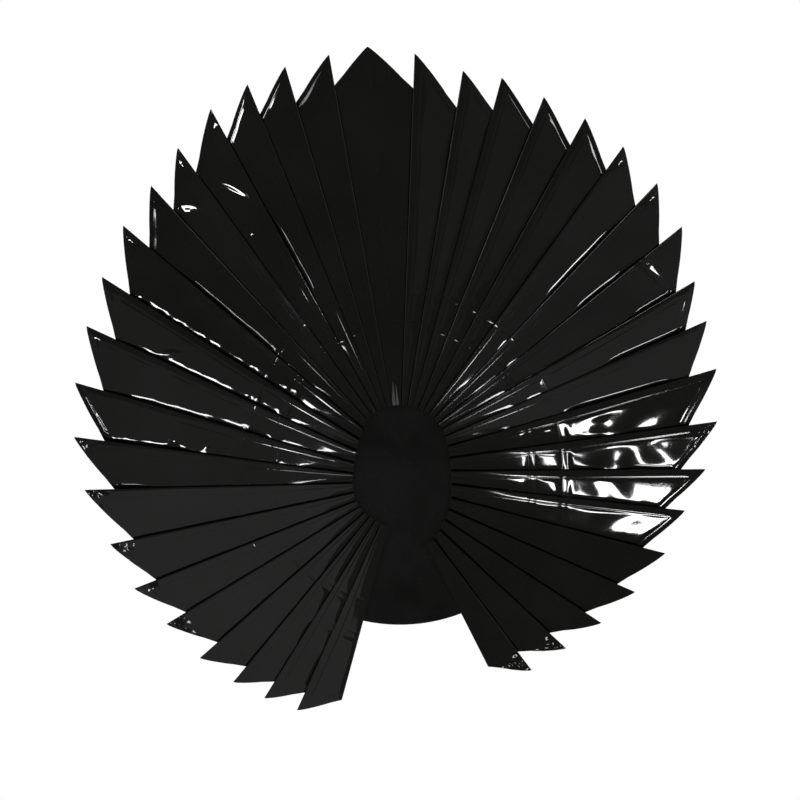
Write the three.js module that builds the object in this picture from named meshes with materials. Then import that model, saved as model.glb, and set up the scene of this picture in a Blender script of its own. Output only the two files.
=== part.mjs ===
// A halo backpiece: pointed, boned blades of patent vinyl that overlap like a pleated fan,
// sewn in two rows to a flat round plate behind the wearer's back.
// Millimetres, +Z up. The wearer stands on the -Y side, facing -Y.
// The origin is the hub of the fan, in the plane of the blades' leading edges.

import * as THREE from 'three';

// Cloth and clearances
const WALL = 1.5;
const CLEAR = 0.4;

// Distances from the hub along a blade
const INNER_END = 62;
const INNER_SEAM = 164;
const OUTER_SEAM = 206;

// The plate that the two seams sew the blades to, just behind the deepest of them
const PLATE_FRONT = 8.2;
const PLATE_RADIUS = 214;
const PLATE_THICK = 3;
const PLATE_SIDES = 72;

// Pleats: how far a blade falls back across its width, near the hub and at the tips
const PLEAT_INNER = 3.2;
const PLEAT_OUTER = 6.5;
const PLEAT_OUTER_AT = 420;
const USUAL_PITCH = THREE.MathUtils.degToRad(8);

// The flap of each blade that runs on behind the next one, as a share of its width
const FLAP = 0.5;

// Boned channel along the leading edge and hem along the outer edge
const CHANNEL_WIDE = 10;
const CHANNEL_RISE = 0.8;
const CHANNEL_MOST = 0.3;
const CHANNEL_SLOPE = 1.5;
const HEM_WIDE = 9;

// Padding of the cloth between its seams
const PUFF = 3;

// The tips curve forwards, beyond the plate
const DISH_DEPTH = 30;
const DISH_AT = 512;

// Blades from the top down. turn is the tip's angle from straight up in degrees, reach its distance
// from the hub, drop how far below the hub the leading edge aims, and bared the length of leading
// edge that shows beyond the blade before.
const TOP_REACH = 507;
const LEFT_BLADES = [
  { turn: 5.5, reach: 504, drop: 0, bared: 38 },
  { turn: 11.9, reach: 502, drop: 0, bared: 45 },
  { turn: 17.8, reach: 497, drop: 0, bared: 39 },
  { turn: 24.1, reach: 489, drop: 0, bared: 40 },
  { turn: 31.3, reach: 471, drop: 0, bared: 37 },
  { turn: 38.2, reach: 456, drop: 2, bared: 40 },
  { turn: 45.8, reach: 447, drop: 8, bared: 41 },
  { turn: 54.6, reach: 432, drop: 16, bared: 40 },
  { turn: 63.1, reach: 422, drop: 23, bared: 39 },
  { turn: 72.9, reach: 415, drop: 29, bared: 36 },
  { turn: 82.3, reach: 407, drop: 33, bared: 37 },
  { turn: 91.8, reach: 396, drop: 35, bared: 36 },
  { turn: 102.6, reach: 379, drop: 36, bared: 29 },
  { turn: 112.2, reach: 372, drop: 36, bared: 29 },
  { turn: 121.4, reach: 361, drop: 34, bared: 28 },
  { turn: 130.9, reach: 357, drop: 32, bared: 29 },
  { turn: 139.2, reach: 353, drop: 30, bared: 25 },
  { turn: 146.3, reach: 349, drop: 30, bared: 24 },
  { turn: 153.5, reach: 345, drop: 30, bared: 24 },
];
const RIGHT_BLADES = [
  { turn: 6.6, reach: 498, drop: 0, bared: 42 },
  { turn: 13.8, reach: 483, drop: 0, bared: 45 },
  { turn: 19.6, reach: 485, drop: 0, bared: 41 },
  { turn: 26.4, reach: 479, drop: 0, bared: 35 },
  { turn: 33.3, reach: 477, drop: 0, bared: 37 },
  { turn: 40.4, reach: 473, drop: 0, bared: 35 },
  { turn: 47.9, reach: 465, drop: 0, bared: 38 },
  { turn: 55.5, reach: 451, drop: 0, bared: 35 },
  { turn: 64.0, reach: 426, drop: 0, bared: 26 },
  { turn: 70.9, reach: 417, drop: 3, bared: 28 },
  { turn: 79.3, reach: 409, drop: 8, bared: 35 },
  { turn: 88.5, reach: 398, drop: 14, bared: 35 },
  { turn: 97.2, reach: 382, drop: 22, bared: 30 },
  { turn: 105.6, reach: 363, drop: 32, bared: 24 },
  { turn: 114.9, reach: 354, drop: 40, bared: 28 },
  { turn: 124.8, reach: 341, drop: 45, bared: 24 },
  { turn: 134.4, reach: 329, drop: 49, bared: 24 },
  { turn: 143.9, reach: 320, drop: 53, bared: 28 },
  { turn: 153.1, reach: 317, drop: 57, bared: 29 },
];

// The last blade on each side ends where another tip would follow it
const LAST_PITCH = 8.5;
const LAST_BARED = 29;

const VINYL = { color: 0x0b0b0c, roughness: 0.12, metalness: 0 };
const PLATE_VINYL = { color: 0x101011, roughness: 0.3, metalness: 0 };

// A leading edge as a straight line from its root on the fan's upright axis to its tip.
// side is -1 on the left and 1 on the right.
function leadingEdge(row, side) {
  const turn = THREE.MathUtils.degToRad(row.turn) * side;
  const tip = new THREE.Vector2(Math.sin(turn), Math.cos(turn)).multiplyScalar(row.reach);
  const root = new THREE.Vector2(0, -row.drop);
  const along = tip.clone().sub(root);
  const length = along.length();
  const direction = along.normalize();
  return {
    length,
    notch: length - row.bared,
    at: (distance) => root.clone().addScaledVector(direction, distance),
  };
}

// How far forward the fan curves at a distance from the hub
function dish(distance) {
  const beyond = Math.max(0, distance - PLATE_RADIUS) / (DISH_AT - PLATE_RADIUS);
  return DISH_DEPTH * beyond * beyond;
}

// How steeply a blade falls back from its leading edge at a distance from the hub
function pleatSlope(distance) {
  const share = Math.min(1, (distance - INNER_END) / (PLEAT_OUTER_AT - INNER_END));
  const fall = THREE.MathUtils.lerp(PLEAT_INNER, PLEAT_OUTER, share);
  return fall / (distance * USUAL_PITCH);
}

// Stations along a blade: hub end, seams, cushions between them, hem and outer edge.
// swell is the share of the padding that a station shows.
function stationsTo(outer) {
  const hem = outer - HEM_WIDE;
  const panel = (share) => THREE.MathUtils.lerp(OUTER_SEAM, hem, share);
  return [
    { distance: INNER_END, swell: 0 },
    { distance: (INNER_END + INNER_SEAM) / 2, swell: 0.5 },
    { distance: INNER_SEAM, swell: 0 },
    { distance: (INNER_SEAM + OUTER_SEAM) / 2, swell: 0.5 },
    { distance: OUTER_SEAM, swell: 0 },
    { distance: panel(0.3), swell: 1 },
    { distance: panel(0.7), swell: 1 },
    { distance: hem, swell: 0 },
    { distance: outer, swell: 0 },
  ];
}

// Columns across a blade, from its leading edge to the end of its flap.
// across is a share of the blade's width, rise stands forward of the pleat, swell as above.
function columnsOver(width, flap) {
  const channel = Math.min(CHANNEL_MOST, CHANNEL_WIDE / width);
  const columns = [
    { across: 0, rise: CHANNEL_RISE, swell: 0 },
    { across: channel, rise: CHANNEL_RISE, swell: 0 },
    { across: channel * CHANNEL_SLOPE, rise: 0, swell: 0.3 },
    { across: 0.65, rise: 0, swell: 1 },
    { across: 1, rise: 0, swell: 0 },
  ];
  if (flap > 0) {
    columns.push({ across: 1 + flap, rise: 0, swell: 0 });
  }
  return columns;
}

// Depth behind the plane of the leading edges, without the dish. The flap closes up to the
// blade in front of it.
function pleatDepth(across, width, slope) {
  if (across <= 1) {
    return slope * width * across;
  }
  const flap = across - 1;
  const behindNext = slope * width * flap + WALL + CLEAR;
  return THREE.MathUtils.lerp(slope * width, behindNext, flap / FLAP);
}

// One side of a blade as a grid of front points, a row for each station, from this leading
// edge towards the next one.
function halfBlade(edge, next, flap) {
  const widest = edge.at(OUTER_SEAM).distanceTo(next.at(OUTER_SEAM));
  const columnCount = columnsOver(widest, flap).length;
  const stationCount = stationsTo(edge.length).length;
  const rows = [];
  for (let i = 0; i < stationCount; i += 1) {
    const row = [];
    for (let j = 0; j < columnCount; j += 1) {
      row.push(bladePoint(edge, next, flap, i, j));
    }
    rows.push(row);
  }
  return rows;
}

// The front point of a blade at station i and column j
function bladePoint(edge, next, flap, i, j) {
  const roughDistance = stationsTo(edge.length)[i].distance;
  const roughWidth = edge.at(roughDistance).distanceTo(next.at(roughDistance));
  const roughAcross = columnsOver(roughWidth, flap)[j].across;
  const outer = THREE.MathUtils.lerp(edge.length, next.notch, roughAcross);
  const station = stationsTo(outer)[i];
  const start = edge.at(station.distance);
  const finish = next.at(station.distance);
  const width = start.distanceTo(finish);
  const column = columnsOver(width, flap)[j];
  const place = start.clone().lerp(finish, column.across);
  const depth = pleatDepth(column.across, width, pleatSlope(station.distance));
  const forward = column.rise + PUFF * column.swell * station.swell + dish(station.distance);
  return new THREE.Vector3(place.x, depth - forward, place.y);
}

// A closed sheet: the front grid, the same grid one wall further back, and the rim between them
function sheetGeometry(rows) {
  const rowCount = rows.length;
  const columnCount = rows[0].length;
  const positions = [];
  for (const behind of [0, WALL]) {
    for (const point of rows.flat()) {
      positions.push(point.x, point.y + behind, point.z);
    }
  }
  const backStart = rowCount * columnCount;
  const index = [];
  const addQuad = (a, b, c, d) => index.push(a, b, c, a, c, d);
  for (let i = 0; i + 1 < rowCount; i += 1) {
    for (let j = 0; j + 1 < columnCount; j += 1) {
      const a = i * columnCount + j;
      const b = a + 1;
      const c = b + columnCount;
      const d = a + columnCount;
      addQuad(a, b, c, d);
      addQuad(backStart + d, backStart + c, backStart + b, backStart + a);
    }
  }
  const rim = rimOf(rowCount, columnCount);
  rim.forEach((from, place) => {
    const to = rim[(place + 1) % rim.length];
    addQuad(to, from, backStart + from, backStart + to);
  });
  const geometry = new THREE.BufferGeometry();
  geometry.setAttribute('position', new THREE.Float32BufferAttribute(positions, 3));
  geometry.setIndex(index);
  return geometry;
}

// The grid's border points in order, in the direction that its quads run
function rimOf(rowCount, columnCount) {
  const rim = [];
  for (let j = 0; j + 1 < columnCount; j += 1) {
    rim.push(j);
  }
  for (let i = 0; i + 1 < rowCount; i += 1) {
    rim.push(i * columnCount + columnCount - 1);
  }
  for (let j = columnCount - 1; j > 0; j -= 1) {
    rim.push((rowCount - 1) * columnCount + j);
  }
  for (let i = rowCount - 1; i > 0; i -= 1) {
    rim.push(i * columnCount);
  }
  return rim;
}

// Blades on the left run the other way round, so their columns are turned to face forwards
function facingForward(rows, side) {
  return side < 0 ? rows.map((row) => [...row].reverse()) : rows;
}

function vinylMesh(name, geometry, finish) {
  geometry.computeVertexNormals();
  const mesh = new THREE.Mesh(geometry, new THREE.MeshStandardMaterial(finish));
  mesh.name = name;
  return mesh;
}

// The leading edges down one side, with the line that the last blade ends at
function edgesOf(table, side) {
  const last = table[table.length - 1];
  const end = { ...last, turn: last.turn + LAST_PITCH, bared: LAST_BARED };
  return [...table, end].map((row) => leadingEdge(row, side));
}

function sideBlades(table, side, sideName) {
  const edges = edgesOf(table, side);
  return table.map((row, k) => {
    const flap = k + 1 < table.length ? FLAP : 0;
    const rows = facingForward(halfBlade(edges[k], edges[k + 1], flap), side);
    const number = String(k + 1).padStart(2, '0');
    return vinylMesh(`blade_${sideName}_${number}`, sheetGeometry(rows), VINYL);
  });
}

// The top blade falls back to both sides of the fold down its middle
function topBlade() {
  const fold = leadingEdge({ turn: 0, reach: TOP_REACH, drop: 0, bared: 0 }, 1);
  const left = halfBlade(fold, leadingEdge(LEFT_BLADES[0], -1), FLAP);
  const right = halfBlade(fold, leadingEdge(RIGHT_BLADES[0], 1), FLAP);
  const rows = facingForward(left, -1).map((row, i) => [...row, ...right[i].slice(1)]);
  return vinylMesh('blade_top', sheetGeometry(rows), VINYL);
}

function backPlate() {
  const disc = new THREE.CylinderGeometry(PLATE_RADIUS, PLATE_RADIUS, PLATE_THICK, PLATE_SIDES);
  const plate = vinylMesh('back_plate', disc, PLATE_VINYL);
  plate.position.y = PLATE_FRONT + PLATE_THICK / 2;
  return plate;
}

const halo = new THREE.Group();
halo.add(topBlade());
halo.add(...sideBlades(LEFT_BLADES, -1, 'left'));
halo.add(...sideBlades(RIGHT_BLADES, 1, 'right'));
halo.add(backPlate());

export default halo;
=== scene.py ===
import math
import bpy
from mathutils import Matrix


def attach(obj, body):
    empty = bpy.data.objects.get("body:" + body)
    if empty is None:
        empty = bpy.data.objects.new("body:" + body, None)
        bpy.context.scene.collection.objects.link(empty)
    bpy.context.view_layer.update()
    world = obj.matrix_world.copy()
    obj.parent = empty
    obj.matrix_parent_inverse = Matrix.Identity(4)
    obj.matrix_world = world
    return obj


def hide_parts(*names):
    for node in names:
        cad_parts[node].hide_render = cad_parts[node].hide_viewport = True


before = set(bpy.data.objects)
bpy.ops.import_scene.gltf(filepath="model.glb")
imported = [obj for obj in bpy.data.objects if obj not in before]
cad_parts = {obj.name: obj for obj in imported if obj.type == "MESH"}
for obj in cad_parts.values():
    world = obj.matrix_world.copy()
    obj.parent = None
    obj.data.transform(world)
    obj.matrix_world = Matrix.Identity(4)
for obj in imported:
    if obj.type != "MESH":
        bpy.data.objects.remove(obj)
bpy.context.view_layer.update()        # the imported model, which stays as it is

from types import SimpleNamespace

import bpy
import numpy as np
from mathutils import Matrix, Vector

# Everything below is in metres unless its name says otherwise
MM = 0.001

# The fan's construction, as in the part's source
WALL = 1.5 * MM
CLEAR = 0.4 * MM
INNER_END = 62 * MM
INNER_SEAM = 164 * MM
OUTER_SEAM = 206 * MM
PLATE_FRONT = 8.2 * MM
PLATE_RADIUS = 214 * MM
PLATE_THICK = 3 * MM
PLEAT_INNER = 3.2 * MM
PLEAT_OUTER = 6.5 * MM
PLEAT_OUTER_AT = 420 * MM
USUAL_PITCH = math.radians(8)
FLAP = 0.5
CHANNEL_WIDE = 10 * MM
CHANNEL_MOST = 0.3
ZONE_WIDE = 14 * MM
ZONE_MOST = 0.4
HEM_WIDE = 9 * MM
DISH_DEPTH = 30 * MM
DISH_AT = 512 * MM

# Blades from the top down: turn of the tip from straight up in degrees, then in millimetres its
# reach from the hub, how far below the hub the leading edge aims, and the length of that edge
# that shows beyond the blade before.
TOP_ROW = (0, 507, 0, 0)
LEFT_ROWS = [
    (5.5, 504, 0, 38),
    (11.9, 502, 0, 45),
    (17.8, 497, 0, 39),
    (24.1, 489, 0, 40),
    (31.3, 471, 0, 37),
    (38.2, 456, 2, 40),
    (45.8, 447, 8, 41),
    (54.6, 432, 16, 40),
    (63.1, 422, 23, 39),
    (72.9, 415, 29, 36),
    (82.3, 407, 33, 37),
    (91.8, 396, 35, 36),
    (102.6, 379, 36, 29),
    (112.2, 372, 36, 29),
    (121.4, 361, 34, 28),
    (130.9, 357, 32, 29),
    (139.2, 353, 30, 25),
    (146.3, 349, 30, 24),
    (153.5, 345, 30, 24),
]
RIGHT_ROWS = [
    (6.6, 498, 0, 42),
    (13.8, 483, 0, 45),
    (19.6, 485, 0, 41),
    (26.4, 479, 0, 35),
    (33.3, 477, 0, 37),
    (40.4, 473, 0, 35),
    (47.9, 465, 0, 38),
    (55.5, 451, 0, 35),
    (64.0, 426, 0, 26),
    (70.9, 417, 3, 28),
    (79.3, 409, 8, 35),
    (88.5, 398, 14, 35),
    (97.2, 382, 22, 30),
    (105.6, 363, 32, 24),
    (114.9, 354, 40, 28),
    (124.8, 341, 45, 24),
    (134.4, 329, 49, 24),
    (143.9, 320, 53, 28),
    (153.1, 317, 57, 29),
]
LAST_PITCH = 8.5
LAST_BARED = 29
LEFT, RIGHT = -1, 1

# Sewn relief of the vinyl: padded panels between bands that fall back at rounded creases
SEAM_HALF = 4 * MM
GROOVE = 0.07 * MM
GROOVE_WIDE = 0.8 * MM
PUFF = 0.25 * MM
PUFF_RAMP = 6 * MM
WAVE = 0.14 * MM
WAVE_LENGTHS = (36 * MM, 72 * MM)
PUCKER = 0.05 * MM
PUCKER_REACH = 6 * MM
PUCKER_LENGTHS = (9 * MM, 16 * MM)
CREASE_ROUND = 1.2 * MM
BORDER_WIDE = 6 * MM
BORDER_MOST = 0.25
BORDER_WANDER = 0.8 * MM
WANDER_LENGTHS = (18 * MM, 45 * MM)
WANDER_WAVES = 6
RIPPLE_WAVES = 9
BONE_RISE = 0.2 * MM
BONE_END = 23.5 * MM
BONE_FADE = 4 * MM
BONE_KNOB = 1.1 * MM
BONE_KNOB_WIDE = 5 * MM
BONE_KNOB_AT = 0.95
FOLD_ROUND = 1.4 * MM
FOLD_BACK = 0.6 * MM
RIDGE_RISE = 0.5 * MM
RIDGE_WIDE = 2.5 * MM
EDGE_ROUND = 0.8 * MM
EDGE_SLANT = 0.84
TIP_ROUND = 1 * MM
TIP_ROUND_SHARE = 0.1

# Slope by which a boned channel falls back to the fold of the leading edge
USUAL_CHANNEL_TILT = 0.1
CHANNEL_TILTS = {"left_04": 0.02}

# Seeds of the random relief: the top blade's halves, the first blade of each side, the step from blade
# to blade, and what is added to a blade's own seed for each kind
TOP_SEEDS = (11, 12)
SIDE_SEEDS = {"left": 1000, "right": 2000}
SEED_STEP = 10
PUCKER_SEED = 1
TUG_SEED = 2
CRUMPLE_SEED = 3
WANDER_SEED = 4

# Wrinkles that the seams pull into the panels, and the strength of the panels' own waves
TUGS = 6
TUG_LENGTHS = (10 * MM, 26 * MM)
TUG_WIDTHS = (2.2 * MM, 4.5 * MM)
TUG_RISES = (0.1 * MM, 0.3 * MM)
TUG_HEADINGS = (math.radians(20), math.radians(60))
USUAL_TUG = 0.02
STRONG_TUGS = {"left_06": 0.15, "left_07": 0.5, "left_08": 0.3, "left_09": 0.1, "left_10": 0.5}
USUAL_WAVE = 0.5
STRONG_WAVES = ("right_11", "right_12", "right_13", "right_14")
WAVE_SEEDS = {"right_11": 16, "right_12": 10, "right_13": 14, "right_14": 16}

# Slope by which the border along the next blade falls back from the panel, and in millimetres the
# rounding of the crease between them and where that starts and ends. Then slope and rounding for
# the hem along the outer edge.
USUAL_BORDER = (0.02, 2, 100, 400)
BORDERS = {
    "left_03": (0.2, 1, 235, 330),
    "left_06": (0.2, 2.5, 205, 355),
    "left_07": (0.2, 4, 150, 395),
    "left_08": (0.2, 5, 175, 375),
    "left_09": (0.2, 8, 185, 370),
    "left_10": (0.2, 3, 270, 370),
    "left_11": (0.2, 1.5, 325, 390),
    "right_06": (0.2, 3, 268, 388),
    "right_07": (0.2, 3.5, 288, 375),
    "right_08": (0.2, 3, 342, 402),
    "right_09": (0.2, 1.5, 290, 400),
    "right_10": (0.2, 1.5, 225, 350),
}
BORDER_FADE = 20 * MM
USUAL_HEM = (0.06, 1.2)
HEMS = {
    "left_01": (0.26, 1.5),
    "left_02": (0.26, 2.5),
    "left_03": (0.26, 4),
    "left_06": (0.26, 1.5),
    "left_10": (0.26, 2.5),
    "right_03": (0.26, 1.2),
    "right_04": (0.26, 1.5),
    "right_05": (0.26, 1.2),
}

# Tips that are creased from handling
CRUMPLE = 0.4 * MM
CRUMPLE_LENGTHS = (7 * MM, 14 * MM)
CRUMPLE_REACH = 34 * MM
CRUMPLED_TIPS = ("left_11", "left_12", "left_13", "left_15", "right_12", "right_18", "right_19")

# Single dents, in millimetres and degrees: distance from the root, share across the blade, turn from
# the leading edge's direction, length, width and rise
DENTS = {
    "left_04": [(391, 0.56, 30, 42, 7.5, 1.2), (331, 0.8, 0, 6, 6, 0.8)],
    "left_05": [(403, 0.79, 48, 26, 12, 1.6)],
    "left_06": [(440, 0.15, 60, 30, 6, 0.7)],
    "left_08": [(322, 0.72, 24, 34, 7, 0.6)],
    "left_10": [(290, 0.72, 0, 16, 12, 1), (248, 0.7, 40, 18, 10, 1)],
    "right_08": [(388, 0.38, 80, 46, 8, 1)],
}

# Blades whose bone ends in a knob
KNOBBED_TIPS = (
    "left_04", "left_05", "left_07", "left_08", "left_09", "left_14", "right_06", "right_07", "right_12"
)

# Grid steps over a panel and from the outer seam to the hem, which are closer on finely dented blades
PANEL_COLUMNS = 9
OUTER_STATIONS = 58
FINE_BLADES = ("left_04", "left_05")
FINE_PANEL_COLUMNS = 25
FINE_OUTER_STATIONS = 110

# Thread, the first and last column of the stitch lines that cross a blade, the first and last station
# of the one along its channel, and the number of points that each line is traced with
STITCH_STEP = 3.6 * MM
STITCH_LONG = 2.5 * MM
STITCH_THICK = 0.5 * MM
STITCH_COLUMNS = (1.0, 1.97)
STITCH_STATIONS = (0.05, 3.0)
HEM_POINTS = 60
SEAM_POINTS = 40
CHANNEL_POINTS = 400

# Grid of the plate, and the width of the grooves in its back
PLATE_SIDES = 128
PLATE_FRONT_RINGS = 12
PLATE_RIM_STEPS = 9
PLATE_BACK_RINGS = 100
PLATE_GROOVE_WIDE = 1.12 * MM

# Dark and light tint of each material
VINYL_TINTS = ((0.0025, 0.0025, 0.0027), (0.006, 0.006, 0.0062))
PLATE_TINTS = ((0.004, 0.004, 0.0042), (0.009, 0.009, 0.0092))
THREAD_TINTS = ((0.008, 0.008, 0.008), (0.02, 0.02, 0.02))
FLOOR_TINTS = ((0.78, 0.78, 0.78), (0.82, 0.82, 0.82))

# Values of a noise texture over which a tint and a number go from their low to their high end
TINT_SPREAD = (0.35, 0.65)
NOISE_SPREAD = (0.3, 0.7)

# Camera: the view is level and square to the fan, which leans a little to the left in it
VIEW_DISTANCE = 2.3
VIEW_ROLL = math.radians(4.53)
VIEW_ABOVE_HUB = 68.2 * MM
IMAGE_SPAN = 1.0
SENSOR = 36.0

# Directions
AHEAD = (0, 1, 0)
RIGHTWARD = (1, 0, 0)
DOWNWARD = (0, 0, -1)

# Floor, and the lamp above it that lights the floor alone
FLOOR_LEVEL = -1.3
FLOOR_RADIUS = 3.4
FLOOR_SIDES = 96
FLOOR_LAMP_PLACE = (0, 0, 3.0)
FLOOR_LAMP_SIZE = (4, 4)
FLOOR_LAMP_BRIGHTNESS = 1.2

# Lamps stand on one plane before the fan. The spots that mirror them lie at these shares across a
# blade. Dents are taken to lie at one share of its length, with flanks that face one way, given as
# towards the tip and towards the next blade. The two steps are for measuring a blade's slope.
LAMP_PLANE = -1.9
FOLD_SHARE = 0.01
MIDDLE_SHARE = 0.5
PANEL_SHARE = 0.6
DENT_AT = 0.88
DENT_FLANK = (0.8, -0.6)
SPOT_STEP = 1 * MM
SHARE_STEP = 0.01

# Each lamp is placed where the camera sees it mirrored in one stretch of a blade: the blade, the kind
# of stretch, its start and end in millimetres from the root, or for a hem as shares of its length and
# for dents and a seam as slopes along them, the least and most lean of what mirrors it, and its
# brightness
LAMPS = [
    ("left_03", "border", 239, 328, 0.1, 0.14, 10),
    ("left_06", "border", 212, 300, 0.11, 0.14, 9),
    ("left_06", "border", 330, 351, 0.1, 0.15, 16),
    ("left_07", "border", 170, 390, 0.07, 0.16, 22),
    ("left_08", "border", 182, 368, 0.07, 0.16, 22),
    ("left_09", "border", 276, 364, 0.08, 0.16, 18),
    ("left_09", "border", 194, 262, 0.08, 0.16, 16),
    ("left_10", "border", 240, 360, 0.09, 0.14, 25),
    ("left_11", "border", 330, 385, 0.1, 0.16, 12),
    ("left_01", "hem", 0.37, 0.8, 0.13, 0.18, 4),
    ("left_02", "hem", 0.54, 0.95, 0.12, 0.18, 16),
    ("left_03", "hem", 0.2, 0.6, 0.12, 0.2, 25),
    ("left_06", "hem", 0.2, 0.4, 0.12, 0.18, 10),
    ("left_10", "hem", 0.4, 0.7, 0.12, 0.18, 16),
    ("left_06", "fold", 270, 422, 0.3, 0.4, 3),
    ("left_04", "dent", -0.085, -0.04, 0.1, 0.175, 25),
    ("left_05", "dent", -0.05, 0.05, 0.09, 0.175, 25),
    ("left_07", "dent", -0.03, 0.03, 0.08, 0.17, 20),
    ("left_09", "dent", -0.03, 0.03, 0.08, 0.17, 20),
    ("left_11", "dent", -0.03, 0.03, 0.1, 0.2, 12),
    ("left_12", "dent", -0.03, 0.03, 0.1, 0.2, 12),
    ("left_13", "dent", -0.03, 0.03, 0.1, 0.2, 8),
    ("left_14", "dent", -0.03, 0.03, 0.08, 0.17, 15),
    ("left_15", "dent", -0.03, 0.03, 0.1, 0.2, 8),
    ("right_06", "border", 270, 385, 0.1, 0.16, 18),
    ("right_07", "border", 295, 370, 0.1, 0.16, 14),
    ("right_08", "border", 345, 395, 0.1, 0.16, 14),
    ("right_09", "border", 295, 393, 0.1, 0.15, 14),
    ("right_10", "border", 229, 344, 0.1, 0.15, 14),
    ("right_06", "dent", -0.03, 0.03, 0.08, 0.17, 15),
    ("right_07", "dent", -0.03, 0.03, 0.08, 0.17, 15),
    ("right_08", "dent", 0.01, 0.1, 0.09, 0.2, 20),
    ("right_18", "dent", -0.03, 0.03, 0.1, 0.2, 8),
    ("right_19", "dent", -0.03, 0.03, 0.1, 0.2, 8),
    ("right_03", "hem", 0.3, 0.95, 0.13, 0.17, 4),
    ("right_04", "hem", 0.3, 0.8, 0.13, 0.18, 10),
    ("right_05", "hem", 0.15, 0.9, 0.13, 0.17, 10),
    ("right_02", "fold", 419, 444, 0.3, 0.4, 12),
    ("right_04", "fold", 210, 371, 0.3, 0.4, 4),
    ("right_05", "fold", 205, 265, 0.25, 0.45, 4),
    ("right_07", "fold", 150, 290, 0.25, 0.45, 5),
    ("right_08", "fold", 150, 310, 0.25, 0.45, 5),
    ("right_09", "fold", 170, 360, 0.25, 0.45, 6),
    ("right_09", "seam", -0.035, 0.005, 0.04, 0.08, 14),
    ("right_11", "panel", 215, 268, -0.01, 0.02, 25),
    ("right_12", "panel", 200, 350, 0.015, 0.035, 25),
    ("right_12", "panel", 200, 350, -0.04, -0.018, 25),
    ("right_13", "panel", 195, 365, -0.03, 0.028, 25),
    ("right_14", "panel", 265, 350, -0.045, 0.008, 25),
]

# Wide dim lamps on the same plane: X and Z of the middle, width, height, brightness, and the side
# and numbers of the blades that each is kept to
GLOWS = [
    (-0.2, -0.75, 1.3, 1.3, 0.17, "left", 12, 19),
    (-0.45, -0.55, 0.9, 0.9, 0.07, "left", 8, 11),
    (0.5, 0.05, 0.4, 0.7, 0.035, "right", 1, 5),
    (0.6, -0.1, 0.9, 0.9, 0.05, "right", 6, 8),
    (0.55, -0.45, 0.9, 0.9, 0.12, "right", 9, 10),
]

# Soft boxes round the fan, which its panels mirror when it is seen from the sides and the back: X, Y
# and Z of the middle, width, height and brightness
ROUND_BOXES = [
    (0.9, 2.4, 1.6, 1.4, 1.0, 6),
    (-2.3, -1.5, -0.1, 0.9, 2.2, 0.7),
    (2.3, -1.5, -0.1, 0.9, 2.2, 0.7),
    (-2.0, 2.0, 0, 0.8, 2.2, 1.0),
    (2.0, 2.0, 0, 0.8, 2.2, 1.0),
]

# Brightness of the room: where the camera looks past the fan, for the plain shading, and in the gloss,
# which is paler straight below than it is level
SEEN_ROOM = 1.0
SHADING_ROOM = 0.5
MIRRORED_ROOM = 0.085
MIRRORED_TINT = (1, 1, 0.92)
MIRRORED_BELOW = 0.3
BELOW_STARTS = -0.6
STRAIGHT_DOWN = -1


# Geometry of a blade

def leading_edge(row, side):
    """The straight line from a blade's root on the upright axis to its tip, in X and Z."""
    turn, reach, drop, bared = row
    angle = math.radians(turn) * side
    tip = np.array([math.sin(angle), math.cos(angle)]) * reach * MM
    root = np.array([0.0, -drop * MM])
    length = float(np.linalg.norm(tip - root))
    along = (tip - root) / length
    return SimpleNamespace(root=root, along=along, length=length, notch=length - bared * MM)


def point_on(edge, distance):
    return edge.root + distance[..., None] * edge.along


def blade_width(half, distance):
    return np.linalg.norm(point_on(half.next, distance) - point_on(half.edge, distance), axis=-1)


def share_across(half, distance, column):
    """A column's share of the blade's width. It is 0 to 1 over the channel, to 1.5 over the panel,
    to 2 over the zone by the next blade and to 3 over the flap behind that."""
    width = blade_width(half, distance)
    channel = np.minimum(CHANNEL_MOST, CHANNEL_WIDE / width)
    zone = np.minimum(ZONE_MOST, ZONE_WIDE / width)
    over_channel = channel * np.clip(column, 0, 1)
    over_panel = (1 - channel - zone) * np.clip(2 * column - 2, 0, 1)
    over_zone = zone * np.clip(2 * column - 3, 0, 1)
    over_flap = FLAP * np.clip(column - 2, 0, 1)
    return over_channel + over_panel + over_zone + over_flap


def distance_along(outer, station):
    """Distance from the root at a station, which counts hub end, seams, hem and outer edge."""
    knots = [INNER_END, INNER_SEAM, OUTER_SEAM, outer - HEM_WIDE, outer]
    distance = np.full(np.broadcast(outer, station).shape, INNER_END)
    for first, (low, high) in enumerate(zip(knots, knots[1:])):
        distance = distance + (high - low) * np.clip(station - first, 0, 1)
    return distance


def pleat_slope(distance):
    share = np.minimum(1, (distance - INNER_END) / (PLEAT_OUTER_AT - INNER_END))
    fall = PLEAT_INNER + (PLEAT_OUTER - PLEAT_INNER) * share
    return fall / (distance * USUAL_PITCH)


def pleat_depth(across, width, slope):
    """Depth behind the plane of the leading edges. The flap closes up to the next blade."""
    flap = np.clip(across - 1, 0, FLAP)
    shown = slope * width * np.clip(across, 0, 1)
    behind_next = slope * width * flap + WALL + CLEAR
    return shown + (behind_next - slope * width) * flap / FLAP


def dish(distance):
    beyond = np.maximum(0, distance - PLATE_RADIUS) / (DISH_AT - PLATE_RADIUS)
    return DISH_DEPTH * beyond ** 2


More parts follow.
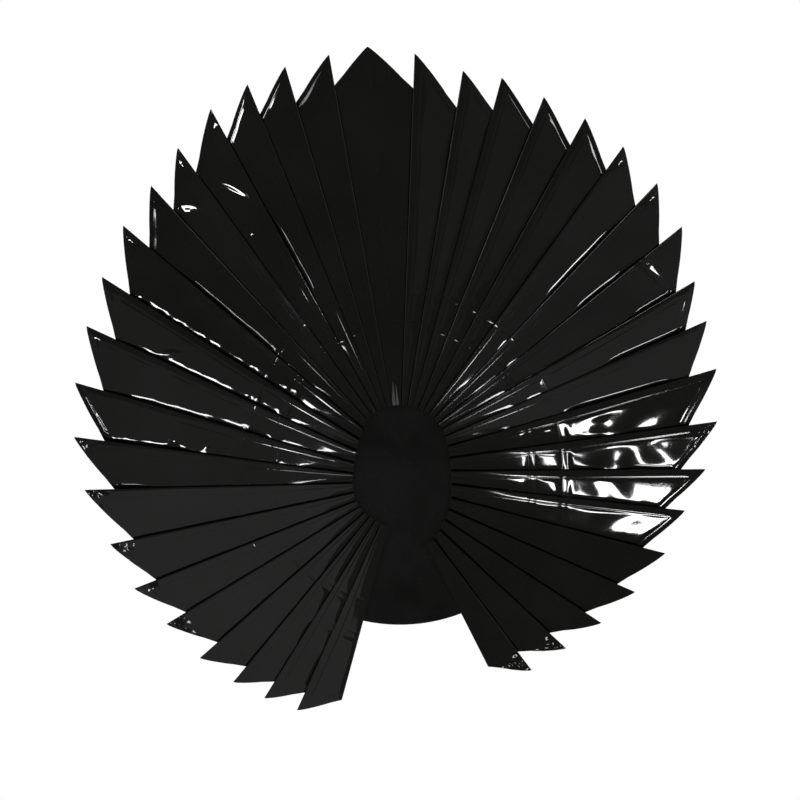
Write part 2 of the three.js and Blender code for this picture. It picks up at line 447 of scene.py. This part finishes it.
def lay_out(half, station, column):
    """Where points of a half blade lie, before its sewn relief."""
    tip_share = share_across(half, np.full(np.shape(column), half.edge.length), column)
    outer = half.edge.length + (half.next.notch - half.edge.length) * tip_share
    outer = outer - TIP_ROUND * np.maximum(0, 1 - tip_share / TIP_ROUND_SHARE) ** 2
    distance = distance_along(outer, station)
    across = share_across(half, distance, column)
    width = blade_width(half, distance)
    start = point_on(half.edge, distance)
    flat = start + (point_on(half.next, distance) - start) * across[..., None]
    depth = pleat_depth(across, width, pleat_slope(distance)) - dish(distance)
    return SimpleNamespace(
        distance=distance,
        across=across,
        width=width,
        flat=flat,
        depth=depth,
        lead=across * width,
        to_next=(1 - across) * width,
        to_flap_end=(1 + half.flap - across) * width,
        to_outer=(outer - distance) * EDGE_SLANT,
        to_hem=(outer - HEM_WIDE - distance) * EDGE_SLANT,
        channel=np.minimum(CHANNEL_WIDE, CHANNEL_MOST * width),
    )


# Relief of the sewn vinyl

def ripples(places, lengths, seed):
    """A smooth random height of about -1 to 1 from waves of the given lengths."""
    draw = np.random.RandomState(seed)
    height = np.zeros(places.shape[:-1])
    for wave in range(RIPPLE_WAVES):
        heading = draw.uniform(0, 2 * math.pi)
        length = draw.uniform(*lengths)
        phase = draw.uniform(0, 2 * math.pi)
        line = places[..., 0] * math.cos(heading) + places[..., 1] * math.sin(heading)
        height += np.cos(2 * math.pi * line / length + phase)
    return height / math.sqrt(RIPPLE_WAVES / 2)


def ramp(distance, reach):
    """Rises from 0 at a seam to 1 at the given distance from it."""
    return np.sin(np.clip(distance / reach, 0, 1) * math.pi / 2)


def bell(distance, wide):
    return np.exp(-(distance / wide) ** 2)


def fade(value, low, high):
    share = np.clip((value - low) / (high - low), 0, 1)
    return share * share * (3 - 2 * share)


def seam_lines():
    return [seam + side * SEAM_HALF for seam in (INNER_SEAM, OUTER_SEAM) for side in (-1, 1)]


def crease(into, rounding):
    """How far a point is into a band beyond a crease, rounded near the crease."""
    return (np.sqrt(into ** 2 + rounding ** 2) + into) / 2


def panel_mask(half, at):
    """1 over the middle of each padded panel and 0 at the seams and bands round it."""
    mask = ramp(at.to_next, PUFF_RAMP) * ramp(at.distance - INNER_END, PUFF_RAMP)
    mask = mask * ramp(at.to_hem, PUFF_RAMP)
    for seam in (INNER_SEAM, OUTER_SEAM):
        mask = mask * ramp(np.abs(at.distance - seam) - SEAM_HALF, PUFF_RAMP)
    if half.boned:
        mask = mask * ramp(at.lead - at.channel, PUFF_RAMP)
    return mask


def border_width(half, at):
    """Width of the border along the next blade, which wanders where the seam tugs at it."""
    draw = np.random.RandomState(half.seed + WANDER_SEED)
    wander = np.zeros(at.distance.shape)
    for wave in range(WANDER_WAVES):
        length = draw.uniform(*WANDER_LENGTHS)
        phase = draw.uniform(0, 2 * math.pi)
        wander = wander + np.cos(2 * math.pi * at.distance / length + phase)
    wide = BORDER_WIDE + half.tug * BORDER_WANDER * wander / math.sqrt(WANDER_WAVES / 2)
    return np.minimum(wide, BORDER_MOST * at.width)


def band_fall(half, at):
    """How far the border, the hem and the channel fall back from the panel."""
    tilt, rounding, start, end = half.border
    hem_tilt, hem_round = half.hem
    begun = fade(at.distance, start * MM - BORDER_FADE, start * MM + BORDER_FADE)
    ended = fade(at.distance, end * MM - BORDER_FADE, end * MM + BORDER_FADE)
    fall = tilt * (begun - ended) * crease(border_width(half, at) - at.to_next, rounding * MM)
    fall = fall + hem_tilt * crease(-at.to_hem, hem_round * MM)
    if half.boned:
        fall = fall + half.channel_tilt * crease(at.channel - at.lead, CREASE_ROUND)
    return fall


def seam_distance(half, at):
    """Distance to the nearest stitch line on the blade's front."""
    lines = [np.abs(at.distance - line) for line in seam_lines()]
    lines.append(np.abs(at.to_outer - HEM_WIDE * EDGE_SLANT))
    if half.boned:
        lines.append(np.abs(at.lead - at.channel))
    return np.minimum.reduce(lines)


def channel_relief(half, at):
    """The boned leading edge, whose bone ends short of the tip in a small knob."""
    if not half.boned:
        return RIDGE_RISE * bell(at.lead, RIDGE_WIDE)
    share = np.clip(at.lead / at.channel, 0, 1)
    end = half.edge.length - BONE_END
    bone = (1 - fade(at.distance, end, end + BONE_FADE)) * at.channel / CHANNEL_WIDE
    knob = np.hypot(at.distance - end, at.lead - at.channel * BONE_KNOB_AT)
    flat_tube = 1 - (2 * share - 1) ** 4
    return BONE_RISE * bone * flat_tube + BONE_KNOB * half.knob * bell(knob, BONE_KNOB_WIDE)


def ridge(along, beside, long, wide):
    return bell(along, long / 2) * bell(beside, wide / 2)


def tug_relief(half, at):
    """Short wrinkles that run up from the border by the next blade. The middle of each stands a third
    of its length up from the border."""
    draw = np.random.RandomState(half.seed + TUG_SEED)
    height = np.zeros(at.distance.shape)
    for tug in range(TUGS):
        start = draw.uniform(OUTER_SEAM, half.next.notch - HEM_WIDE)
        heading = draw.uniform(*TUG_HEADINGS) * draw.choice([-1, 1])
        long = draw.uniform(*TUG_LENGTHS)
        wide = draw.uniform(*TUG_WIDTHS)
        rise = draw.uniform(*TUG_RISES)
        off, up = at.distance - start, at.to_next - BORDER_WIDE
        along = off * math.cos(heading) + up * abs(math.sin(heading)) - long / 3
        beside = up * math.cos(heading) - off * math.sin(heading) * np.sign(heading)
        height = height + rise * ridge(along, beside, long, wide)
    return half.tug * height


def dent_relief(half, at):
    """Single dents, each a short ridge."""
    height = np.zeros(at.distance.shape)
    for distance, across, heading, long, wide, rise in half.dents:
        angle = math.radians(heading)
        off = at.distance - distance * MM
        over = (at.across - across) * at.width
        along = off * math.cos(angle) + over * math.sin(angle)
        beside = over * math.cos(angle) - off * math.sin(angle)
        height = height + rise * MM * ridge(along, beside, long * MM, wide * MM)
    return height


def crumple_relief(half, at):
    """The creases of a handled tip."""
    tip = half.edge.length
    near_tip = fade(at.distance, tip - CRUMPLE_REACH, tip - CRUMPLE_REACH / 2)
    waves = ripples(at.flat, CRUMPLE_LENGTHS, half.seed + CRUMPLE_SEED)
    return CRUMPLE * half.crumple * near_tip * waves


def front_relief(half, at):
    """How far the front stands forward of the plain pleat."""
    shown = np.where(at.across <= 1, 1.0, 0.0)
    waves = half.wave * ripples(at.flat, WAVE_LENGTHS, half.wave_seed)
    puckers = ripples(at.flat, PUCKER_LENGTHS, half.seed + PUCKER_SEED)
    seam = seam_distance(half, at)
    relief = panel_mask(half, at) * (PUFF + WAVE * waves) - band_fall(half, at)
    relief = relief + PUCKER * half.tug * puckers * bell(seam, PUCKER_REACH) * ramp(seam, GROOVE_WIDE)
    relief = relief - GROOVE * bell(seam, GROOVE_WIDE)
    relief = relief + tug_relief(half, at) + dent_relief(half, at) + crumple_relief(half, at)
    return shown * (relief + channel_relief(half, at))


def fold_back(half, at):
    """How far the front bends back round the fold of the leading edge."""
    if not half.boned:
        return 0
    share = np.clip(1 - at.lead / FOLD_ROUND, 0, 1)
    return FOLD_BACK * (1 - np.sqrt(1 - share ** 2))


def rim_distance(half, at):
    rims = [at.to_outer, at.distance - INNER_END, at.to_flap_end]
    if half.boned:
        rims.append(at.lead)
    return np.maximum(0, np.minimum.reduce(rims))


def wall_thickness(half, at):
    """Full thickness inside, rounded off to nothing at the rim."""
    share = np.minimum(1, rim_distance(half, at) / EDGE_ROUND)
    return WALL * np.sqrt(1 - (1 - share) ** 2)


def half_blade_points(half, station, column):
    """Front and back points of a half blade, as arrays of X, Y, Z, and its flat points."""
    at = lay_out(half, station, column)
    front_depth = at.depth - front_relief(half, at) + fold_back(half, at)
    back_depth = front_depth + wall_thickness(half, at)
    front = np.stack([at.flat[..., 0], front_depth, at.flat[..., 1]], axis=-1)
    back = np.stack([at.flat[..., 0], back_depth, at.flat[..., 1]], axis=-1)
    return front, back, at.flat


# Grids

def grid_steps(parts):
    """Joins evenly spaced stretches, given as (start, end, count), and single values."""
    steps = []
    for part in parts:
        if isinstance(part, tuple):
            start, end, count = part
            steps.extend(np.linspace(start, end, count, endpoint=False))
        else:
            steps.append(part)
    return np.array(steps)


def blade_columns(flap, fine):
    """Columns across a half blade, closer at its fold, its creases and its rim."""
    panel_count = FINE_PANEL_COLUMNS if fine else PANEL_COLUMNS
    over_channel = [0, 0.006, 0.02, 0.04, 0.07, 0.11, 0.16, 0.22, (0.3, 0.8, 4), 0.8, 0.87, 0.94]
    over_panel = [1, 1.025, 1.06, (1.11, 1.5, panel_count), (1.5, 1.97, 13), 1.98]
    over_flap = [2, 2.3, 2.75, 2.97, 2.99, 3] if flap else [1.99, 2]
    return grid_steps(over_channel + over_panel + over_flap)


def groove_stations(start, span, line):
    """Stations close to a stitch line between two knots that are span apart."""
    offsets = np.array([-2, -1, 0, 1, 2]) * GROOVE_WIDE
    return list(start + (line + offsets) / span)


def blade_stations(fine):
    """Stations along a half blade, closer at its ends, its stitch lines and its hem."""
    outer_count = FINE_OUTER_STATIONS if fine else OUTER_STATIONS
    inner_bay = INNER_SEAM - INNER_END
    middle_bay = OUTER_SEAM - INNER_SEAM
    by_hub = [0, 0.0015, 0.004, 0.008, (0.03, 0.92, 18)]
    by_inner_seam = groove_stations(0, inner_bay, inner_bay - SEAM_HALF)
    by_inner_seam += [1] + groove_stations(1, middle_bay, SEAM_HALF)
    between_seams = [(1.16, 1.86, 7)]
    by_outer_seam = groove_stations(1, middle_bay, middle_bay - SEAM_HALF)
    to_hem = [2, (2.014, 2.96, outer_count), 2.965, 2.98, 2.99]
    over_hem = [3, 3.08, 3.16, (3.25, 3.85, 5), 3.9, 3.96, 3.99, 4]
    return grid_steps(by_hub + by_inner_seam + between_seams + by_outer_seam + to_hem + over_hem)


# Meshes

def closed_sheet(name, front, back, side):
    """A mesh whose front and back grids share their rim."""
    rows, columns = front.shape[:2]
    front_index = np.arange(rows * columns).reshape(rows, columns)
    back_index = front_index.copy()
    inside = np.zeros((rows, columns), dtype=bool)
    inside[1:-1, 1:-1] = True
    back_index[inside] = rows * columns + np.arange(inside.sum())
    vertices = np.concatenate([front.reshape(-1, 3), back[inside]])
    faces = []
    for index, turned in ((front_index, side < 0), (back_index, side > 0)):
        quads = np.stack([index[:-1, :-1], index[:-1, 1:], index[1:, 1:], index[1:, :-1]], axis=-1)
        quads = quads.reshape(-1, 4)
        faces.extend((quads[:, ::-1] if turned else quads).tolist())
    return smooth_object(name, vertices.tolist(), faces)


def smooth_object(name, vertices, faces):
    mesh = bpy.data.meshes.new(name)
    mesh.from_pydata(vertices, [], faces)
    mesh.polygons.foreach_set("use_smooth", [True] * len(mesh.polygons))
    mesh.validate()
    mesh.update()
    piece = bpy.data.objects.new(name, mesh)
    bpy.context.scene.collection.objects.link(piece)
    return piece


def half_blade(name, row, next_row, side, seed, boned=True, flap=True):
    return SimpleNamespace(
        name=name,
        tug=STRONG_TUGS.get(name, USUAL_TUG),
        crumple=1 if name in CRUMPLED_TIPS else 0,
        knob=1 if name in KNOBBED_TIPS else 0,
        dents=DENTS.get(name, []),
        border=BORDERS.get(name, USUAL_BORDER),
        hem=HEMS.get(name, USUAL_HEM),
        channel_tilt=CHANNEL_TILTS.get(name, USUAL_CHANNEL_TILT),
        edge=leading_edge(row, side),
        next=leading_edge(next_row, side),
        side=side,
        seed=seed,
        wave=1 if name in STRONG_WAVES else USUAL_WAVE,
        wave_seed=WAVE_SEEDS.get(name, seed),
        boned=boned,
        flap=FLAP if flap else 0,
    )


def half_blade_grid(half):
    fine = half.name in FINE_BLADES
    column, station = np.meshgrid(blade_columns(half.flap > 0, fine), blade_stations(fine))
    return half_blade_points(half, station, column)


def finish_blade(piece, node):
    """Material and place in the frame of a blade; the imported blade that it stands for is hidden."""
    piece.data.materials.append(MATERIALS["vinyl"])
    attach(piece, "root")
    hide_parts(node)


def side_blade(half):
    node = "blade_" + half.name
    front, back, flat = half_blade_grid(half)
    piece = closed_sheet("sewn_" + node, front, back, half.side)
    finish_blade(piece, node)
    return piece


def top_blade(left, right):
    grids = []
    for left_part, right_part in zip(half_blade_grid(left), half_blade_grid(right)):
        grids.append(np.concatenate([left_part[:, :0:-1], right_part], axis=1))
    front, back, flat = grids
    piece = closed_sheet("sewn_blade_top", front, back, RIGHT)
    finish_blade(piece, "blade_top")


# Stitching

def seam_station(half, line):
    """The station of a stitch line at the leading edge, given its distance from the root."""
    if line < INNER_SEAM:
        return (line - INNER_END) / (INNER_SEAM - INNER_END)
    if line < OUTER_SEAM:
        return 1 + (line - INNER_SEAM) / (OUTER_SEAM - INNER_SEAM)
    hem = half.edge.length - HEM_WIDE
    return 2 + (line - OUTER_SEAM) / (hem - OUTER_SEAM)


def stitch_paths(half):
    """Stations and columns along each stitch line of a half blade."""
    first_column, last_column = STITCH_COLUMNS
    first_station, hem_station = STITCH_STATIONS
    hem_columns = np.linspace(first_column, last_column, HEM_POINTS)
    seam_columns = np.linspace(first_column, last_column, SEAM_POINTS)
    channel_stations = np.linspace(first_station, hem_station, CHANNEL_POINTS)
    paths = [(np.full(HEM_POINTS, hem_station), hem_columns)]
    for line in seam_lines():
        paths.append((np.full(SEAM_POINTS, seam_station(half, line)), seam_columns))
    if half.boned:
        paths.append((channel_stations, np.full(CHANNEL_POINTS, first_column)))
    return paths


def point_at(points, reached, place):
    """The point at a place along a line, given how far along it each of its points is reached."""
    return np.array([np.interp(place, reached, points[:, axis]) for axis in range(3)])


def stitches_along(points):
    """Small pointed threads laid end to end along a line of surface points."""
    steps = np.linalg.norm(np.diff(points, axis=0), axis=1)
    reached = np.concatenate([[0], np.cumsum(steps)])
    vertices, faces = [], []
    forward = np.array([0, -1, 0])
    for start in np.arange(STITCH_STEP / 2, reached[-1] - STITCH_LONG, STITCH_STEP):
        first = point_at(points, reached, start)
        last = point_at(points, reached, start + STITCH_LONG)
        heading = (last - first) / np.linalg.norm(last - first)
        beside = np.cross(heading, forward)
        middle = (first + last) / 2
        ring = [
            middle + beside * STITCH_THICK / 2,
            middle + forward * STITCH_THICK,
            middle - beside * STITCH_THICK / 2,
            middle - forward * STITCH_THICK / 2,
        ]
        base = len(vertices)
        vertices.extend([first, last, *ring])
        for corner in range(len(ring)):
            here = base + 2 + corner
            there = base + 2 + (corner + 1) % len(ring)
            faces.append((base, here, there))
            faces.append((base + 1, there, here))
    return vertices, faces


def stitching(name, halves):
    """All the thread on some half blades, as one piece."""
    vertices, faces = [], []
    for half in halves:
        for station, column in stitch_paths(half):
            front = half_blade_points(half, station, column)[0]
            more_vertices, more_faces = stitches_along(front)
            base = len(vertices)
            vertices.extend(more_vertices)
            faces.extend([tuple(base + corner for corner in face) for face in more_faces])
    piece = smooth_object(name, [tuple(vertex) for vertex in vertices], faces)
    piece.data.materials.append(MATERIALS["thread"])
    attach(piece, "root")


# The plate

def plate_profile():
    """Radius and depth from the middle of the front, round the edge, to the middle of the back."""
    edge = PLATE_THICK / 2
    middle = PLATE_FRONT + edge
    flat_radius = PLATE_RADIUS - edge
    front = [(radius, PLATE_FRONT) for radius in np.linspace(0, flat_radius, PLATE_FRONT_RINGS)]
    rim = []
    for angle in np.linspace(-math.pi / 2, math.pi / 2, PLATE_RIM_STEPS)[1:-1]:
        rim.append((flat_radius + edge * math.cos(angle), middle + edge * math.sin(angle)))
    back = []
    for radius in np.linspace(flat_radius, 0, PLATE_BACK_RINGS):
        groove = sum(bell(radius - line, PLATE_GROOVE_WIDE) for line in seam_lines())
        back.append((radius, PLATE_FRONT + PLATE_THICK - GROOVE * groove))
    return front + rim + back


def ring_pairs(ring):
    """Numbers of the neighbouring vertices round one ring of the plate."""
    start = ring * PLATE_SIDES
    return [(start + side, start + (side + 1) % PLATE_SIDES) for side in range(PLATE_SIDES)]


def covered_plate():
    """The plate as rings round its middle, closed by a fan of triangles at the front and the back."""
    profile = plate_profile()
    rings = profile[1:-1]
    last_ring = len(rings) - 1
    angles = np.linspace(0, 2 * math.pi, PLATE_SIDES, endpoint=False)
    vertices, faces = [], []
    for radius, depth in rings:
        vertices.extend((radius * math.sin(angle), depth, radius * math.cos(angle)) for angle in angles)
    for ring in range(last_ring):
        for here, there in ring_pairs(ring):
            faces.append((here, here + PLATE_SIDES, there + PLATE_SIDES, there))
    front_depth, back_depth = profile[0][1], profile[-1][1]
    for depth, ring, turned in ((front_depth, 0, False), (back_depth, last_ring, True)):
        centre = len(vertices)
        vertices.append((0, depth, 0))
        for here, there in ring_pairs(ring):
            faces.append((centre, there, here) if turned else (centre, here, there))
    piece = smooth_object("back_panel", vertices, faces)
    piece.data.materials.append(MATERIALS["plate"])
    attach(piece, "root")
    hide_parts("back_plate")


# Materials

def new_material(name):
    material = bpy.data.materials.new(name)
    material.use_nodes = True
    tree = material.node_tree
    return material, tree, tree.nodes["Principled BSDF"]


def noise_node(tree, scale, detail):
    place = tree.nodes.new("ShaderNodeTexCoord")
    noise = tree.nodes.new("ShaderNodeTexNoise")
    noise.inputs["Scale"].default_value = scale
    noise.inputs["Detail"].default_value = detail
    tree.links.new(place.outputs["Object"], noise.inputs["Vector"])
    return noise


def map_range(tree, source, socket, given, wanted):
    """Links a value to a socket, with its given range stretched to the wanted one."""
    spread = tree.nodes.new("ShaderNodeMapRange")
    spread.inputs["From Min"].default_value, spread.inputs["From Max"].default_value = given
    spread.inputs["To Min"].default_value, spread.inputs["To Max"].default_value = wanted
    tree.links.new(source, spread.inputs["Value"])
    tree.links.new(spread.outputs["Result"], socket)


def map_noise(tree, noise, socket, low, high):
    map_range(tree, noise.outputs["Fac"], socket, NOISE_SPREAD, (low, high))


def tint_noise(tree, noise, socket, tints):
    """Colours a socket from a dark to a light tint."""
    tint = tree.nodes.new("ShaderNodeValToRGB")
    for stop, position, colour in zip(tint.color_ramp.elements, TINT_SPREAD, tints):
        stop.position = position
        stop.color = (*colour, 1)
    tree.links.new(noise.outputs["Fac"], tint.inputs["Fac"])
    tree.links.new(tint.outputs["Color"], socket)


def bump_noise(tree, noise, shader, distance, strength):
    bump = tree.nodes.new("ShaderNodeBump")
    bump.inputs["Distance"].default_value = distance
    bump.inputs["Strength"].default_value = strength
    tree.links.new(noise.outputs["Fac"], bump.inputs["Height"])
    tree.links.new(bump.outputs["Normal"], shader.inputs["Normal"])


def patent_vinyl():
    material, tree, shader = new_material("patent_vinyl")
    clouds = noise_node(tree, scale=9, detail=3)
    smears = noise_node(tree, scale=30, detail=4)
    grain = noise_node(tree, scale=220, detail=2)
    tint_noise(tree, clouds, shader.inputs["Base Color"], VINYL_TINTS)
    map_noise(tree, smears, shader.inputs["Roughness"], low=0.03, high=0.07)
    bump_noise(tree, grain, shader, distance=0.12 * MM, strength=0.12)
    shader.inputs["IOR"].default_value = 1.52
    shader.inputs["Coat Weight"].default_value = 0.6
    shader.inputs["Coat Roughness"].default_value = 0.03
    return material


def plate_vinyl():
    material, tree, shader = new_material("plate_vinyl")
    clouds = noise_node(tree, scale=14, detail=3)
    smears = noise_node(tree, scale=40, detail=4)
    grain = noise_node(tree, scale=420, detail=4)
    tint_noise(tree, clouds, shader.inputs["Base Color"], PLATE_TINTS)
    map_noise(tree, smears, shader.inputs["Roughness"], low=0.22, high=0.34)
    bump_noise(tree, grain, shader, distance=0.2 * MM, strength=0.25)
    shader.inputs["IOR"].default_value = 1.5
    return material


def thread():
    material, tree, shader = new_material("thread")
    clouds = noise_node(tree, scale=500, detail=2)
    fuzz = noise_node(tree, scale=900, detail=2)
    tint_noise(tree, clouds, shader.inputs["Base Color"], THREAD_TINTS)
    map_noise(tree, fuzz, shader.inputs["Roughness"], low=0.35, high=0.55)
    return material


def pale_floor():
    material, tree, shader = new_material("pale_floor")
    clouds = noise_node(tree, scale=2, detail=3)
    tint_noise(tree, clouds, shader.inputs["Base Color"], FLOOR_TINTS)
    shader.inputs["Roughness"].default_value = 0.7
    return material


# Stage, light and camera

def add_floor():
    bpy.ops.mesh.primitive_circle_add(
        vertices=FLOOR_SIDES,
        radius=FLOOR_RADIUS,
        fill_type="NGON",
        location=(0, 0, FLOOR_LEVEL),
    )
    floor = bpy.context.object
    floor.name = "floor"
    floor.data.materials.append(pale_floor())
    floor.visible_glossy = False
    return floor


def plain_spot(half, distance, across):
    """A point of the plain pleat, before its sewn relief."""
    place = np.asarray(distance)
    start = point_on(half.edge, place)
    flat = start + (point_on(half.next, place) - start) * across
    depth = pleat_depth(across, blade_width(half, place), pleat_slope(place)) - dish(place)
    return np.array([flat[0], float(depth), flat[1]])


def mirrored_spot(half, distance, across, outward, onward):
    """Where on the lamps' plane the camera looks by way of a spot on a blade. The spot leans back
    from the plain pleat by one slope towards the tip and by another towards the next blade."""
    spot = plain_spot(half, distance, across)
    along = plain_spot(half, distance + SPOT_STEP, across) - spot
    over = plain_spot(half, distance, across + SHARE_STEP) - spot
    along[1] += outward * np.linalg.norm(along)
    over[1] += onward * np.linalg.norm(over)
    normal = np.cross(along, over)
    normal = normal / np.linalg.norm(normal)
    ray = spot - np.array(camera_place())
    mirrored = ray - 2 * (ray @ normal) * normal
    return spot + mirrored * (LAMP_PLANE - spot[1]) / mirrored[1]


def stretch_spot(half, stretch, place, lean):
    """The mirrored spot at one place along a stretch of a blade, which is a hem, dent, seam, fold,
    panel or border."""
    if stretch == "hem":
        cut_back = half.edge.length - half.next.notch
        outer = half.edge.length - cut_back * place
        slant = cut_back / float(blade_width(half, np.asarray(outer)))
        outward = lean * EDGE_SLANT
        return mirrored_spot(half, outer - HEM_WIDE, place, outward, outward * slant)
    if stretch == "dent":
        distance = half.edge.length * DENT_AT
        outward = lean * DENT_FLANK[0] - place * DENT_FLANK[1]
        onward = lean * DENT_FLANK[1] + place * DENT_FLANK[0]
        return mirrored_spot(half, distance, MIDDLE_SHARE, outward, onward)
    if stretch == "seam":
        return mirrored_spot(half, OUTER_SEAM, MIDDLE_SHARE, lean, place)
    distance = place * MM
    if stretch == "fold":
        return mirrored_spot(half, distance, FOLD_SHARE, 0, -lean)
    if stretch == "panel":
        return mirrored_spot(half, distance, PANEL_SHARE, 0, lean)
    width = float(blade_width(half, np.asarray(distance)))
    return mirrored_spot(half, distance, 1 - BORDER_WIDE / width, 0, lean)


def place_lamp(name, half, stretch, start, end, least, most, brightness, lit):
    """A lamp that covers what a stretch of a blade mirrors."""
    low_start, low_end = (stretch_spot(half, stretch, place, least) for place in (start, end))
    high_start, high_end = (stretch_spot(half, stretch, place, most) for place in (start, end))
    middle = (low_start + low_end + high_start + high_end) / 4
    along = (low_end + high_end - low_start - high_start) / 2
    over = (high_start + high_end - low_start - low_end) / 2
    long = float(np.linalg.norm(along))
    heading = along / long
    wide = float(np.linalg.norm(over - (over @ heading) * heading))
    soft_box(name, middle, heading, AHEAD, (long, wide), brightness, lit)


def soft_box(name, place, heading, facing, size, brightness, lit=()):
    """An area light, given its middle, the way its first side runs, and the way it shines. It may be
    kept to some pieces."""
    light = bpy.data.lights.new(name, "AREA")
    light.shape = "RECTANGLE"
    light.size, light.size_y = size
    light.energy = brightness * math.pi * size[0] * size[1]
    lamp = bpy.data.objects.new(name, light)
    back = -Vector(facing).normalized()
    side = Vector(heading).normalized()
    turn = Matrix((side, back.cross(side), back)).transposed().to_4x4()
    lamp.matrix_world = Matrix.Translation(Vector(place)) @ turn
    lamp.visible_camera = False
    bpy.context.scene.collection.objects.link(lamp)
    if lit:
        receivers = bpy.data.collections.new(name + "_receivers")
        for piece in lit:
            receivers.objects.link(piece)
        lamp.light_linking.receiver_collection = receivers


def add_lights(fan, floor):
    """The lamps and glows that single blades mirror, the boxes round the fan and the floor's lamp."""
    for number, (blade, stretch, start, end, least, most, brightness) in enumerate(LAMPS):
        half, piece = fan[blade]
        name = f"lamp_{number:02d}"
        place_lamp(name, half, stretch, start, end, least, most, brightness, [piece])
    for number, (x, z, wide, high, brightness, side, first, last) in enumerate(GLOWS):
        lit = [fan[f"{side}_{blade:02d}"][1] for blade in range(first, last + 1)]
        place = (x, LAMP_PLANE, z)
        soft_box(f"glow_{number}", place, RIGHTWARD, AHEAD, (wide, high), brightness, lit)
    for number, (x, y, z, wide, high, brightness) in enumerate(ROUND_BOXES):
        soft_box(f"box_{number}", (x, y, z), (-y, x, 0), (-x, -y, -z), (wide, high), brightness)
    soft_box(
        "floor_wash",
        FLOOR_LAMP_PLACE,
        RIGHTWARD,
        DOWNWARD,
        FLOOR_LAMP_SIZE,
        FLOOR_LAMP_BRIGHTNESS,
        [floor],
    )


def background(tree, brightness, tint=(1, 1, 1)):
    node = tree.nodes.new("ShaderNodeBackground")
    node.inputs["Color"].default_value = (*tint, 1)
    node.inputs["Strength"].default_value = brightness
    return node


def mirrored_room(tree):
    """The dim even room that shows in the gloss, paler below."""
    node = background(tree, MIRRORED_ROOM, MIRRORED_TINT)
    direction = tree.nodes.new("ShaderNodeTexCoord")
    split = tree.nodes.new("ShaderNodeSeparateXYZ")
    tree.links.new(direction.outputs["Generated"], split.inputs["Vector"])
    heights = (BELOW_STARTS, STRAIGHT_DOWN)
    levels = (MIRRORED_ROOM, MIRRORED_BELOW)
    map_range(tree, split.outputs["Z"], node.inputs["Strength"], heights, levels)
    return node


def mix_by(tree, ray, off, on):
    """One background for rays of a kind and another for the rest."""
    path = tree.nodes.new("ShaderNodeLightPath")
    mix = tree.nodes.new("ShaderNodeMixShader")
    tree.links.new(path.outputs[ray], mix.inputs["Fac"])
    tree.links.new(off.outputs[0], mix.inputs[1])
    tree.links.new(on.outputs[0], mix.inputs[2])
    return mix


def white_room():
    """White where the camera looks past the fan, and a dim room in its gloss."""
    world = bpy.data.worlds.new("room")
    world.use_nodes = True
    bpy.context.scene.world = world
    tree = world.node_tree
    room = mix_by(tree, "Is Diffuse Ray", mirrored_room(tree), background(tree, SHADING_ROOM))
    seen = mix_by(tree, "Is Camera Ray", room, background(tree, SEEN_ROOM))
    tree.links.new(seen.outputs["Shader"], tree.nodes["World Output"].inputs["Surface"])
    bpy.context.scene.view_settings.view_transform = "Standard"


def view_up():
    return Vector((math.sin(VIEW_ROLL), 0, math.cos(VIEW_ROLL)))


def camera_place():
    return view_up() * VIEW_ABOVE_HUB - Vector((0, VIEW_DISTANCE, 0))


def add_camera():
    data = bpy.data.cameras.new("camera")
    data.sensor_width = SENSOR
    data.lens = SENSOR * VIEW_DISTANCE / IMAGE_SPAN
    camera = bpy.data.objects.new("camera", data)
    ahead = Vector(AHEAD)
    turn = Matrix((ahead.cross(view_up()), view_up(), -ahead)).transposed().to_4x4()
    camera.matrix_world = Matrix.Translation(camera_place()) @ turn
    bpy.context.scene.collection.objects.link(camera)
    bpy.context.scene.camera = camera


# The whole fan

def side_halves(name, rows, side):
    """The half blades of one side. The last has no next blade, so its width is set by a pitch."""
    turn, reach, drop, _ = rows[-1]
    ends = rows[1:] + [(turn + LAST_PITCH, reach, drop, LAST_BARED)]
    halves = []
    for number, (row, next_row) in enumerate(zip(rows, ends)):
        last = number + 1 == len(rows)
        blade = f"{name}_{number + 1:02d}"
        seed = SIDE_SEEDS[name] + SEED_STEP * number
        halves.append(half_blade(blade, row, next_row, side, seed, flap=not last))
    return halves


MATERIALS = {"vinyl": patent_vinyl(), "plate": plate_vinyl(), "thread": thread()}


def build_fan():
    """Makes every piece, and gives the shape and the piece of each side blade by its name."""
    covered_plate()
    left_seed, right_seed = TOP_SEEDS
    top_left = half_blade("top", TOP_ROW, LEFT_ROWS[0], LEFT, left_seed, boned=False)
    top_right = half_blade("top", TOP_ROW, RIGHT_ROWS[0], RIGHT, right_seed, boned=False)
    top_blade(top_left, top_right)
    stitching("stitching_top", [top_left, top_right])
    fan = {}
    for name, rows, side in (("left", LEFT_ROWS, LEFT), ("right", RIGHT_ROWS, RIGHT)):
        halves = side_halves(name, rows, side)
        for half in halves:
            fan[half.name] = (half, side_blade(half))
        stitching(f"stitching_{name}", halves)
    return fan


add_lights(build_fan(), add_floor())
white_room()
add_camera()
